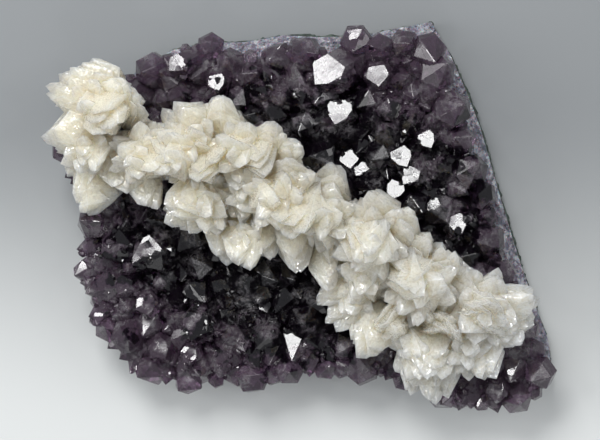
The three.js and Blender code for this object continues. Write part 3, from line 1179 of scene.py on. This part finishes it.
    def petals(self, rows: np.ndarray, name: str, bevel_mm: float) -> list[bpy.types.Object]:
        """Builds each crystal as a closed solid whose edges are cut off a little.

        Seen as one unit long and one unit in half width, a crystal is the space inside a foot,
        three lower planes, six steep planes from the belt to the shoulder and three blunt planes
        that meet at the tip.

        Args:
            rows: One crystal in each row.
            name: The start of each object's name.
            bevel_mm: How wide the cut edges are.

        Returns:
            One object for each crystal.
        """
        count = len(rows)
        tips, roots, half, taper = rows[:, :3], rows[:, 3:6], rows[:, 6], rows[:, 7]
        spread, turn, twist, flat = rows[:, 8:].T
        steep = (1 - self.shoulder_radius) / (self.shoulder - self.belt)
        blunt = self.shoulder_radius * 0.86 / (1 - self.shoulder)
        normals = np.zeros((count, 13, 3))
        reach = np.zeros((count, 13))
        for side in range(3):
            third = side * 2 * np.pi / 3 + turn
            flatways = np.column_stack([np.cos(third), np.sin(third)])
            for j, angle in enumerate((third - spread, third + spread)):
                normals[:, side * 2 + j, :2] = np.column_stack([np.cos(angle), np.sin(angle)])
                normals[:, side * 2 + j, 2] = steep
                reach[:, side * 2 + j] = 1 + self.belt * steep
            normals[:, 6 + side, :2] = flatways
            normals[:, 6 + side, 2] = -taper / self.belt
            reach[:, 6 + side] = 1 - taper
            normals[:, 9 + side, :2] = flatways
            normals[:, 9 + side, 2] = blunt
            reach[:, 9 + side] = blunt
        normals[:, 12] = [0, 0, -1]
        axes = tips - roots
        length = np.linalg.norm(axes, axis=1)
        axes = axes / length[:, None]
        frames = frames_along(axes, twist)
        objects = []
        for i, corners in enumerate(corner_clouds(normals, reach)):
            local = corners * [half[i], half[i] * flat[i], length[i]]
            points = (local @ frames[i].T + roots[i]) * MM
            objects.append(crystal_object(f"{name}_{i}", points, axes[i], bevel_mm * MM))
        return objects

    def build(self) -> bpy.types.Object:
        """Builds and dresses the ridge.

        Returns:
            The finished piece.
        """
        rows = self.main_crystals()
        main, cores = rows[: len(self.crystals)], rows[len(self.crystals):]
        cores[:, 2] -= self.core_drop
        dome = self.dome_crystals()
        parts = self.petals(cores, "core", self.edge_mm)
        parts += self.petals(self.plates(main), "plate", self.edge_mm)
        parts += self.petals(dome, "petal", self.edge_mm)
        parts += self.petals(self.parallel_crystals(main, 2), "step", self.fine_edge_mm)
        parts += self.petals(self.parallel_crystals(dome, 1), "scale", self.fine_edge_mm)
        ridge = parts[0]
        ridge.name = ridge.data.name = "calcite"
        united(ridge, parts[1:])
        smooth = np.ones(len(ridge.data.polygons), dtype=bool)
        ridge.data.polygons.foreach_set("use_smooth", smooth)
        ridge.data.set_sharp_from_angle(angle=np.radians(self.smooth_deg))
        return finish_piece(ridge, self.node, self.finish.material())


@dataclass
class Layer:
    """A flat layer of the plate with a rough broken side."""

    name: str
    node: str
    slot: str
    finish: QuartzFinish | BasaltFinish
    grain_mm: float
    relief_mm: float
    step_mm: float
    seed: int

    def roughened(self, piece: bpy.types.Object) -> None:
        """Subdivides the layer's side and breaks it into grains.

        Space is cut into cells about the grain's size. In each cell the surface is moved along
        its normal by a height and a slope of the cell's own, so the grains have flat faces.

        Args:
            piece: The merged copy of the CAD layer.
        """
        shell = bmesh.new()
        shell.from_mesh(piece.data)
        for _ in range(6):
            shell.normal_update()
            long = [
                e
                for e in shell.edges
                if e.calc_length() > self.step_mm * MM * 1.4
                and any(abs(f.normal.z) < 0.94 for f in e.link_faces)
            ]
            if not long:
                break
            bmesh.ops.subdivide_edges(shell, edges=long, cuts=1)
            bmesh.ops.triangulate(shell, faces=[f for f in shell.faces if len(f.verts) > 3])
        shell.normal_update()
        shell.verts.ensure_lookup_table()
        places = np.array([v.co for v in shell.verts])
        normals = np.array([v.normal for v in shell.verts])
        side = np.array(
            [all(abs(f.normal.z) < 0.94 for f in v.link_faces) for v in shell.verts]
        )
        rng = np.random.default_rng(self.seed)
        low, high = places.min(axis=0), places.max(axis=0)
        size = self.grain_mm * MM
        shape = np.ceil((high - low) / size).astype(int) + 3
        seeds = rng.uniform(0, 1, (*shape, 3))
        slopes = rng.uniform(-0.5, 0.5, (*shape, 3))
        heights = rng.uniform(-1.0, 0.15, shape)
        cell = (places - low) / size + 1
        base = np.floor(cell).astype(int)
        best = np.full(len(places), np.inf)
        move = np.zeros(len(places))
        for dx in (-1, 0, 1):
            for dy in (-1, 0, 1):
                for dz in (-1, 0, 1):
                    near = np.clip(base + [dx, dy, dz], 0, shape - 1)
                    key = tuple(near.T)
                    offset = cell - near - seeds[key]
                    gap = (offset**2).sum(axis=1)
                    closer = gap < best
                    best = np.where(closer, gap, best)
                    lift = heights[key] + (offset * slopes[key]).sum(axis=1)
                    move = np.where(closer, lift, move)
        places += normals * (move * side * self.relief_mm * MM)[:, None]
        shell.to_mesh(piece.data)
        shell.free()
        piece.data.vertices.foreach_set("co", places.ravel())
        piece.data.update()

    def build(self) -> bpy.types.Object:
        """Builds and dresses the layer.

        Returns:
            The finished piece.
        """
        piece = merged_copy(frame["nodes"][self.node], self.name)
        self.roughened(piece)
        return finish_piece(piece, self.node, self.finish.material())


@dataclass
class Studio:
    """A pale floor, soft lights and the camera at the photograph's angle."""

    floor_size: float = 3.0
    paper: str = "#cccecd"
    # Painted shade: the darker tone that the floor takes towards the back.
    paper_far_painted_shade: str = "#7e8183"
    fade_from: float = -0.11
    fade_to: float = 0.05
    target: tuple[float, float, float] = (0.0, 0.0, 0.02)
    camera_tilt_x: float = 6.0
    camera_tilt_y: float = 8.0
    camera_distance: float = 0.6
    lens: float = 90.0
    room: str = "#c4c8cc"
    room_strength: float = 0.7
    softboxes: tuple[tuple, ...] = (
        ("main", (-0.16, 0.61, 0.68), 0.92, 0.36, 7.4),
        ("left", (-0.9, 0.1, 0.55), 1.1, 0.6, 4.0),
        ("right", (0.8, 0.35, 0.6), 1.2, 0.6, 3.0),
        ("front", (0.1, -0.9, 0.7), 1.3, 0.8, 1.5),
        ("glint_left", (-0.5, 0.3, 0.8), 1.0, 0.08, 0.4),
        ("glint_right", (0.5, 0.1, 0.85), 1.0, 0.08, 0.4),
        ("glint_front", (0.05, -0.5, 0.85), 1.0, 0.08, 0.4),
    )

    def floor(self) -> None:
        """Lays the floor with painted shade: its colour darkens from the front towards the back,
        standing in for light falling off across a lit paper sweep.
        """
        half = self.floor_size / 2
        points = np.array([(-half, -half, 0), (half, -half, 0), (half, half, 0), (-half, half, 0)])
        floor = mesh_object("floor", points.astype(float), [(0, 1, 2, 3)])
        material, tree, shader = new_material("paper_painted_shade")
        place = add_node(tree, "ShaderNodeTexCoord").outputs["Object"]
        axis = add_node(tree, "ShaderNodeSeparateXYZ", links={0: place})
        # Painted shade: the floor's colour is mixed from the paper towards the darker back tone
        # along Y.
        fade = add_node(
            tree,
            "ShaderNodeMapRange",
            {"interpolation_type": "SMOOTHSTEP"},
            values={"From Min": self.fade_from, "From Max": self.fade_to},
            links={"Value": axis.outputs["Y"]},
        )
        tone = add_node(
            tree,
            "ShaderNodeMix",
            {"data_type": "RGBA"},
            values={6: linear(self.paper), 7: linear(self.paper_far_painted_shade)},
            links={0: fade.outputs[0]},
        )
        tree.links.new(tone.outputs[2], shader.inputs["Base Color"])
        shader.inputs["Roughness"].default_value = 0.9
        floor.data.materials.append(material)

    def softbox(
        self, name: str, way: tuple[float, float, float], distance: float, size: float, watts: float
    ) -> None:
        """Hangs one square light that faces the specimen.

        Args:
            name: The light's name.
            way: The direction from the specimen to the light.
            distance: How far off it hangs, in metres.
            size: Its side, in metres.
            watts: Its power.
        """
        lamp = bpy.data.lights.new(name, "AREA")
        lamp.shape = "SQUARE"
        lamp.size = size
        lamp.energy = watts
        light = bpy.data.objects.new(name, lamp)
        bpy.context.scene.collection.objects.link(light)
        toward = Vector(way).normalized()
        light.location = Vector(self.target) + toward * distance
        light.rotation_euler = toward.to_track_quat("Z", "Y").to_euler()

    def lights(self) -> None:
        """Hangs the lights: the main one makes the amethyst faces flash."""
        for name, *form in self.softboxes:
            self.softbox(name, *form)
        world = bpy.data.worlds.new("room")
        bpy.context.scene.world = world
        world.use_nodes = True
        background = world.node_tree.nodes["Background"]
        background.inputs["Color"].default_value = linear(self.room)
        background.inputs["Strength"].default_value = self.room_strength

    def camera(self) -> None:
        """Sets the camera above the plate, a little to its right and beyond its upper edge."""
        lean_x = np.sin(np.radians(self.camera_tilt_x))
        lean_y = np.sin(np.radians(self.camera_tilt_y))
        toward = Vector((lean_x, lean_y, np.sqrt(1 - lean_x**2 - lean_y**2)))
        data = bpy.data.cameras.new("camera")
        data.lens = self.lens
        data.sensor_width = 36.0
        data.clip_start = 0.01
        camera = bpy.data.objects.new("camera", data)
        bpy.context.scene.collection.objects.link(camera)
        camera.location = Vector(self.target) + toward * self.camera_distance
        right = Vector((0, 1, 0)).cross(toward).normalized()
        up = toward.cross(right)
        camera.rotation_euler = Matrix((right, up, toward)).transposed().to_euler()
        bpy.context.scene.camera = camera
        bpy.context.scene.view_settings.view_transform = "Standard"

    def build(self) -> None:
        """Builds the floor, the lights and the camera."""
        self.camera()
        self.floor()
        self.lights()
        log.info("studio ready")


def main() -> None:
    """Builds every sub-assembly in order; each piece's face count is logged as it is finished."""
    logging.basicConfig(level=logging.INFO, format="%(name)s %(message)s")
    Studio().build()
    Layer(
        "basalt", "green_rind", "basalt", BasaltFinish(),
        grain_mm=2.6, relief_mm=0.9, step_mm=0.9, seed=5,
    ).build()
    Layer(
        "quartz", "quartz_band", "quartz", QuartzFinish(),
        grain_mm=1.7, relief_mm=0.9, step_mm=0.7, seed=6,
    ).build()
    AmethystCrust().build()
    CalciteRidge().build()
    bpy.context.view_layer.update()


if __name__ == "__main__":
    main()
